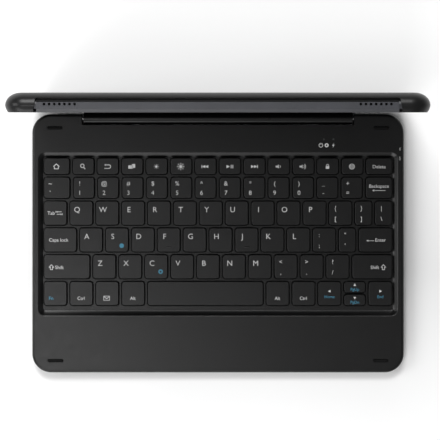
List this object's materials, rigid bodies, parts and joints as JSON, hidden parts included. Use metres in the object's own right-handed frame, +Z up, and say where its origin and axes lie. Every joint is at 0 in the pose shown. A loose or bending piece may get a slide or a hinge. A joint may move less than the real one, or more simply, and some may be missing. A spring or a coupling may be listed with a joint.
{
  "type": "tablet keyboard case",
  "caption": "Laptop-style case for a tablet: a thin base with a full set of pressing keys and a friction-hinged lid whose tray holds the tablet.",
  "frame": {"origin": "on the table under the middle of the case's bounding box, lid raised to its rest angle", "axes": "+X to the user's right along the keyboard, +Y away from the user towards the hinge, +Z up"},
  "size_m": [0.246, 0.1834, 0.1753],
  "materials": {
    "case_plastic": "fine satin texture, black",
    "deck_plastic": "smooth satin, black",
    "key_plastic": "fine matte texture, black",
    "lid_plastic": "satin, very dark grey",
    "cradle_plastic": "satin, dark blue grey",
    "pad_cloth": "short microfibre nap, dark grey",
    "foot_rubber": "matt, black",
    "silicone": "moulded domes, black",
    "clear_film": "printed polyester film",
    "circuit_board": "green solder mask",
    "chip_black": "moulded",
    "cell_foil": "foil pouch",
    "flat_cable": "polyimide film",
    "switch_plastic": "moulded",
    "light_pipe": "clear moulding",
    "sheet_steel": "rolled",
    "socket_steel": "drawn, nickel plated",
    "screw_steel": "dark zinc",
    "magnet_metal": "nickel plated",
    "print_white": "printed legend, white",
    "print_blue": "printed legend, blue"
  },
  "bodies": {
    "base": {"base_tray": "case_plastic", "deck": "deck_plastic", "key_backplate": "sheet_steel", "membrane_circuit": "clear_film", "dome_sheet": "silicone", "controller_board": "circuit_board", "board_chips": "chip_black", "battery_cells": "cell_foil", "battery_lead": "flat_cable", "base_feet": "foot_rubber", "deck_bumpers": "foot_rubber", "switch_body": "switch_plastic", "charging_socket": "socket_steel", "status_lights": "light_pipe", "base_screws": "screw_steel", "base_magnets": "magnet_metal", "hinge_leaves": "sheet_steel", "hinge_pins": "screw_steel"},
    "lid": {"lid_shell": "lid_plastic", "tablet_cradle": "cradle_plastic", "cradle_floor": "cradle_plastic", "cradle_pad": "pad_cloth", "hinge_barrel": "case_plastic", "hinge_end_caps": "case_plastic", "friction_clips": "sheet_steel", "lid_screws": "screw_steel", "lid_magnets": "magnet_metal"},
    "slider": {"power_slider": "key_plastic"},
    "key_q": {"key_q": "key_plastic"},
    "key_w": {"key_w": "key_plastic"},
    "key_e": {"key_e": "key_plastic"},
    "key_r": {"key_r": "key_plastic"},
    "key_t": {"key_t": "key_plastic"},
    "key_y": {"key_y": "key_plastic"},
    "key_u": {"key_u": "key_plastic"},
    "key_i": {"key_i": "key_plastic"},
    "key_o": {"key_o": "key_plastic"},
    "key_p": {"key_p": "key_plastic"},
    "key_a": {"key_a": "key_plastic"},
    "key_s": {"key_s": "key_plastic"},
    "key_d": {"key_d": "key_plastic"},
    "key_f": {"key_f": "key_plastic"},
    "key_g": {"key_g": "key_plastic"},
    "key_h": {"key_h": "key_plastic"},
    "key_j": {"key_j": "key_plastic"},
    "key_k": {"key_k": "key_plastic"},
    "key_l": {"key_l": "key_plastic"},
    "key_z": {"key_z": "key_plastic"},
    "key_x": {"key_x": "key_plastic"},
    "key_c": {"key_c": "key_plastic"},
    "key_v": {"key_v": "key_plastic"},
    "key_b": {"key_b": "key_plastic"},
    "key_n": {"key_n": "key_plastic"},
    "key_m": {"key_m": "key_plastic"},
    "key_space": {"key_space": "key_plastic"},
    "key_enter": {"key_enter": "key_plastic"},
    "key_backspace": {"key_backspace": "key_plastic"},
    "function_keys": {"function_keys": "key_plastic"},
    "number_keys": {"number_keys": "key_plastic"},
    "other_keys": {"other_keys": "key_plastic"}
  },
  "joints": [
    {"name": "lid_hinge", "type": "hinge", "parent": "base", "child": "lid", "pos_m": [0, 0.0764, 0.0045], "axis": [-1, 0, 0], "range_deg": [-86.73, 43]},
    {"name": "power_switch", "type": "slide", "parent": "base", "child": "slider", "axis": [0, 1, 0], "range_m": [0, 0.002]},
    {"name": "press_function_keys", "type": "slide", "parent": "base", "child": "function_keys", "axis": [0, 0, -1], "range_m": [0, 0.0016], "stiffness_N_per_m": 3500, "springref_m": -0.0008, "deforming": ["dome_sheet"]},
    {"name": "press_number_keys", "type": "slide", "parent": "base", "child": "number_keys", "axis": [0, 0, -1], "range_m": [0, 0.0016], "stiffness_N_per_m": 3250, "springref_m": -0.0008, "deforming": ["dome_sheet"]},
    {"name": "press_other_keys", "type": "slide", "parent": "base", "child": "other_keys", "axis": [0, 0, -1], "range_m": [0, 0.0016], "stiffness_N_per_m": 5500, "springref_m": -0.0008, "deforming": ["dome_sheet"]},
    {"name": "press_q", "type": "slide", "parent": "base", "child": "key_q", "axis": [0, 0, -1], "range_m": [0, 0.0016], "stiffness_N_per_m": 250, "springref_m": -0.0008, "deforming": ["dome_sheet"]},
    {"name": "press_w", "type": "slide", "parent": "base", "child": "key_w", "axis": [0, 0, -1], "range_m": [0, 0.0016], "stiffness_N_per_m": 250, "springref_m": -0.0008, "deforming": ["dome_sheet"]},
    {"name": "press_e", "type": "slide", "parent": "base", "child": "key_e", "axis": [0, 0, -1], "range_m": [0, 0.0016], "stiffness_N_per_m": 250, "springref_m": -0.0008, "deforming": ["dome_sheet"]},
    {"name": "press_r", "type": "slide", "parent": "base", "child": "key_r", "axis": [0, 0, -1], "range_m": [0, 0.0016], "stiffness_N_per_m": 250, "springref_m": -0.0008, "deforming": ["dome_sheet"]},
    {"name": "press_t", "type": "slide", "parent": "base", "child": "key_t", "axis": [0, 0, -1], "range_m": [0, 0.0016], "stiffness_N_per_m": 250, "springref_m": -0.0008, "deforming": ["dome_sheet"]},
    {"name": "press_y", "type": "slide", "parent": "base", "child": "key_y", "axis": [0, 0, -1], "range_m": [0, 0.0016], "stiffness_N_per_m": 250, "springref_m": -0.0008, "deforming": ["dome_sheet"]},
    {"name": "press_u", "type": "slide", "parent": "base", "child": "key_u", "axis": [0, 0, -1], "range_m": [0, 0.0016], "stiffness_N_per_m": 250, "springref_m": -0.0008, "deforming": ["dome_sheet"]},
    {"name": "press_i", "type": "slide", "parent": "base", "child": "key_i", "axis": [0, 0, -1], "range_m": [0, 0.0016], "stiffness_N_per_m": 250, "springref_m": -0.0008, "deforming": ["dome_sheet"]},
    {"name": "press_o", "type": "slide", "parent": "base", "child": "key_o", "axis": [0, 0, -1], "range_m": [0, 0.0016], "stiffness_N_per_m": 250, "springref_m": -0.0008, "deforming": ["dome_sheet"]},
    {"name": "press_p", "type": "slide", "parent": "base", "child": "key_p", "axis": [0, 0, -1], "range_m": [0, 0.0016], "stiffness_N_per_m": 250, "springref_m": -0.0008, "deforming": ["dome_sheet"]},
    {"name": "press_a", "type": "slide", "parent": "base", "child": "key_a", "axis": [0, 0, -1], "range_m": [0, 0.0016], "stiffness_N_per_m": 250, "springref_m": -0.0008, "deforming": ["dome_sheet"]},
    {"name": "press_s", "type": "slide", "parent": "base", "child": "key_s", "axis": [0, 0, -1], "range_m": [0, 0.0016], "stiffness_N_per_m": 250, "springref_m": -0.0008, "deforming": ["dome_sheet"]},
    {"name": "press_d", "type": "slide", "parent": "base", "child": "key_d", "axis": [0, 0, -1], "range_m": [0, 0.0016], "stiffness_N_per_m": 250, "springref_m": -0.0008, "deforming": ["dome_sheet"]},
    {"name": "press_f", "type": "slide", "parent": "base", "child": "key_f", "axis": [0, 0, -1], "range_m": [0, 0.0016], "stiffness_N_per_m": 250, "springref_m": -0.0008, "deforming": ["dome_sheet"]},
    {"name": "press_g", "type": "slide", "parent": "base", "child": "key_g", "axis": [0, 0, -1], "range_m": [0, 0.0016], "stiffness_N_per_m": 250, "springref_m": -0.0008, "deforming": ["dome_sheet"]},
    {"name": "press_h", "type": "slide", "parent": "base", "child": "key_h", "axis": [0, 0, -1], "range_m": [0, 0.0016], "stiffness_N_per_m": 250, "springref_m": -0.0008, "deforming": ["dome_sheet"]},
    {"name": "press_j", "type": "slide", "parent": "base", "child": "key_j", "axis": [0, 0, -1], "range_m": [0, 0.0016], "stiffness_N_per_m": 250, "springref_m": -0.0008, "deforming": ["dome_sheet"]},
    {"name": "press_k", "type": "slide", "parent": "base", "child": "key_k", "axis": [0, 0, -1], "range_m": [0, 0.0016], "stiffness_N_per_m": 250, "springref_m": -0.0008, "deforming": ["dome_sheet"]},
    {"name": "press_l", "type": "slide", "parent": "base", "child": "key_l", "axis": [0, 0, -1], "range_m": [0, 0.0016], "stiffness_N_per_m": 250, "springref_m": -0.0008, "deforming": ["dome_sheet"]},
    {"name": "press_z", "type": "slide", "parent": "base", "child": "key_z", "axis": [0, 0, -1], "range_m": [0, 0.0016], "stiffness_N_per_m": 250, "springref_m": -0.0008, "deforming": ["dome_sheet"]},
    {"name": "press_x", "type": "slide", "parent": "base", "child": "key_x", "axis": [0, 0, -1], "range_m": [0, 0.0016], "stiffness_N_per_m": 250, "springref_m": -0.0008, "deforming": ["dome_sheet"]},
    {"name": "press_c", "type": "slide", "parent": "base", "child": "key_c", "axis": [0, 0, -1], "range_m": [0, 0.0016], "stiffness_N_per_m": 250, "springref_m": -0.0008, "deforming": ["dome_sheet"]},
    {"name": "press_v", "type": "slide", "parent": "base", "child": "key_v", "axis": [0, 0, -1], "range_m": [0, 0.0016], "stiffness_N_per_m": 250, "springref_m": -0.0008, "deforming": ["dome_sheet"]},
    {"name": "press_b", "type": "slide", "parent": "base", "child": "key_b", "axis": [0, 0, -1], "range_m": [0, 0.0016], "stiffness_N_per_m": 250, "springref_m": -0.0008, "deforming": ["dome_sheet"]},
    {"name": "press_n", "type": "slide", "parent": "base", "child": "key_n", "axis": [0, 0, -1], "range_m": [0, 0.0016], "stiffness_N_per_m": 250, "springref_m": -0.0008, "deforming": ["dome_sheet"]},
    {"name": "press_m", "type": "slide", "parent": "base", "child": "key_m", "axis": [0, 0, -1], "range_m": [0, 0.0016], "stiffness_N_per_m": 250, "springref_m": -0.0008, "deforming": ["dome_sheet"]},
    {"name": "press_space", "type": "slide", "parent": "base", "child": "key_space", "axis": [0, 0, -1], "range_m": [0, 0.0016], "stiffness_N_per_m": 250, "springref_m": -0.0008, "deforming": ["dome_sheet"]},
    {"name": "press_enter", "type": "slide", "parent": "base", "child": "key_enter", "axis": [0, 0, -1], "range_m": [0, 0.0016], "stiffness_N_per_m": 250, "springref_m": -0.0008, "deforming": ["dome_sheet"]},
    {"name": "press_backspace", "type": "slide", "parent": "base", "child": "key_backspace", "axis": [0, 0, -1], "range_m": [0, 0.0016], "stiffness_N_per_m": 250, "springref_m": -0.0008, "deforming": ["dome_sheet"]}
  ]
}
